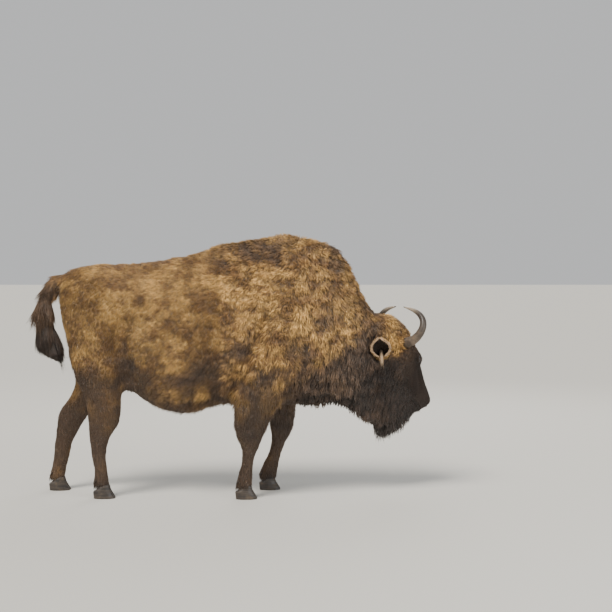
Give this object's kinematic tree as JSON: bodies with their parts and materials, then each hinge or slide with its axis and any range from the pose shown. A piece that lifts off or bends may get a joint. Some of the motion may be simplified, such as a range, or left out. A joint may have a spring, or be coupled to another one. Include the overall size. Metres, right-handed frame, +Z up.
{
  "type": "european bison (wisent) model",
  "caption": "Life-size standing wisent bull with lowered head, hump, beard and curved horns, in moulting coat.",
  "frame": {"origin": "on the ground under the middle of the animal's bounding box", "axes": "+X towards the head, +Y towards the animal's left side, +Z up"},
  "size_m": [2.6928, 0.6954, 1.7497],
  "materials": {
    "coat": "long curled woolly hair, golden brown",
    "dark_coat": "dark brown hair of head, beard and legs",
    "ear_coat": "short brown hair with a pale fringe",
    "tail_hair": "long straight dark hair",
    "horn": "polished dark horn with paler tips",
    "hoof": "dark horn, scuffed",
    "eye": "wet dark brown"
  },
  "bodies": {
    "root": {"trunk": "coat", "neck": "coat", "head": "dark_coat", "beard": "dark_coat", "foreleg_r": "dark_coat", "foreleg_l": "dark_coat", "hindleg_r": "dark_coat", "hindleg_l": "dark_coat", "horn_r": "horn", "ear_r": "ear_coat", "eye_r": "eye", "horn_l": "horn", "ear_l": "ear_coat", "eye_l": "eye", "tail": "tail_hair", "tail_brush": "tail_hair", "hoof_fr_a": "hoof", "hoof_fr_b": "hoof", "hoof_fl_a": "hoof", "hoof_fl_b": "hoof", "hoof_hr_a": "hoof", "hoof_hr_b": "hoof", "hoof_hl_a": "hoof", "hoof_hl_b": "hoof"}
  },
  "joints": []
}
